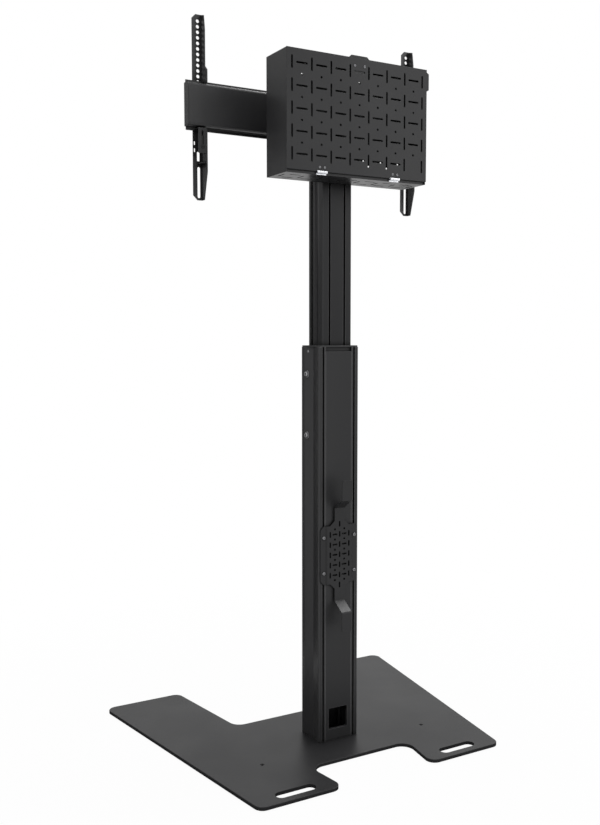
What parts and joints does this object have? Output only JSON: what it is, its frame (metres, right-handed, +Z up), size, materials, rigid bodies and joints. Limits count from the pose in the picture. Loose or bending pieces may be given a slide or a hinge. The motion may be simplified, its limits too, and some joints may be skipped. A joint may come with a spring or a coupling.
{
  "type": "floor stand for a flat screen",
  "caption": "Height-adjustable floor stand for a flat screen: splayed base plate, telescoping column, hinged media box, cross bar with sliding screen brackets.",
  "frame": {"origin": "on the floor, where the column's axis meets it", "axes": "+Z up along the column; -Y toward the side that carries the screen, +Y toward the media box; +X to the left of someone who looks at the media box, the side with the clamp bolts"},
  "size_m": [0.8686, 0.691, 1.748],
  "materials": {
    "black_coat": "satin black powder coat",
    "black_extrusion": "black anodised, satin",
    "black_strip": "satin black extruded plastic",
    "black_plastic": "moulded, matte",
    "black_steel": "black oxide",
    "zinc_steel": "bright zinc plate",
    "cast_aluminium": "cast, coated black",
    "rubber": "matte"
  },
  "bodies": {
    "base": {"base_plate": "black_coat", "foot_pads": "rubber", "levelling_screws": "black_steel", "column_screws": "zinc_steel", "lower_column": "black_extrusion", "column_cover_strip": "black_strip", "glide_liner": "black_plastic", "liner_screw": "zinc_steel", "clamp_washers": "zinc_steel", "clamp_pads": "black_plastic", "clamp_nuts": "zinc_steel"},
    "mast": {"upper_column": "black_extrusion", "guide_block": "black_plastic", "mast_cap": "black_plastic", "mast_spacer": "cast_aluminium", "mast_nuts": "zinc_steel", "cross_bar": "black_coat", "bar_bolts": "zinc_steel", "bar_cap_left": "black_plastic", "bar_cap_right": "black_plastic", "media_box": "black_coat", "box_screws": "zinc_steel", "box_hinge_leaves": "zinc_steel", "hinge_pins": "zinc_steel"},
    "cover": {"media_cover": "black_coat", "cover_hinge_leaves": "zinc_steel", "cover_screws": "zinc_steel", "cover_grip_tab": "black_coat", "cover_side_tab": "black_coat"},
    "cable_bracket": {"cable_bracket": "black_coat", "cable_bracket_screws": "zinc_steel", "cable_bracket_nuts": "zinc_steel"},
    "bracket_left": {"screen_bracket_left": "black_coat", "lock_screw_left": "black_steel"},
    "bracket_right": {"screen_bracket_right": "black_coat", "lock_screw_right": "black_steel"},
    "lock_left": {"lock_plate_left": "black_coat"},
    "lock_right": {"lock_plate_right": "black_coat"},
    "clamp_bolt_upper": {"clamp_bolt_upper": "zinc_steel"},
    "clamp_bolt_lower": {"clamp_bolt_lower": "zinc_steel"}
  },
  "joints": [
    {"name": "mast_slide", "type": "slide", "parent": "base", "child": "mast", "axis": [0, 0, 1], "range_m": [-0.35, 0.1]},
    {"name": "cover_hinge", "type": "hinge", "parent": "mast", "child": "cover", "pos_m": [0, 0.127, 1.3715], "axis": [-1, 0, 0], "range_deg": [0, 110]},
    {"name": "cable_bracket_slide", "type": "slide", "parent": "base", "child": "cable_bracket", "axis": [0, 0, 1], "range_m": [-0.2, 0.3]},
    {"name": "bracket_left_slide", "type": "slide", "parent": "mast", "child": "bracket_left", "axis": [1, 0, 0], "range_m": [-0.2, 0.025]},
    {"name": "bracket_right_slide", "type": "slide", "parent": "mast", "child": "bracket_right", "axis": [1, 0, 0], "range_m": [-0.025, 0.2]},
    {"name": "lock_left_slide", "type": "slide", "parent": "bracket_left", "child": "lock_left", "axis": [0, 0, 1], "range_m": [-0.015, 0]},
    {"name": "lock_right_slide", "type": "slide", "parent": "bracket_right", "child": "lock_right", "axis": [0, 0, 1], "range_m": [-0.015, 0]},
    {"name": "clamp_bolt_upper_turn", "type": "hinge", "parent": "base", "child": "clamp_bolt_upper", "pos_m": [0.0552, -0.017, 0.914], "axis": [1, 0, 0], "range_deg": [0, 360]},
    {"name": "clamp_bolt_lower_turn", "type": "hinge", "parent": "base", "child": "clamp_bolt_lower", "pos_m": [0.0552, -0.017, 0.765], "axis": [1, 0, 0], "range_deg": [0, 360]}
  ]
}
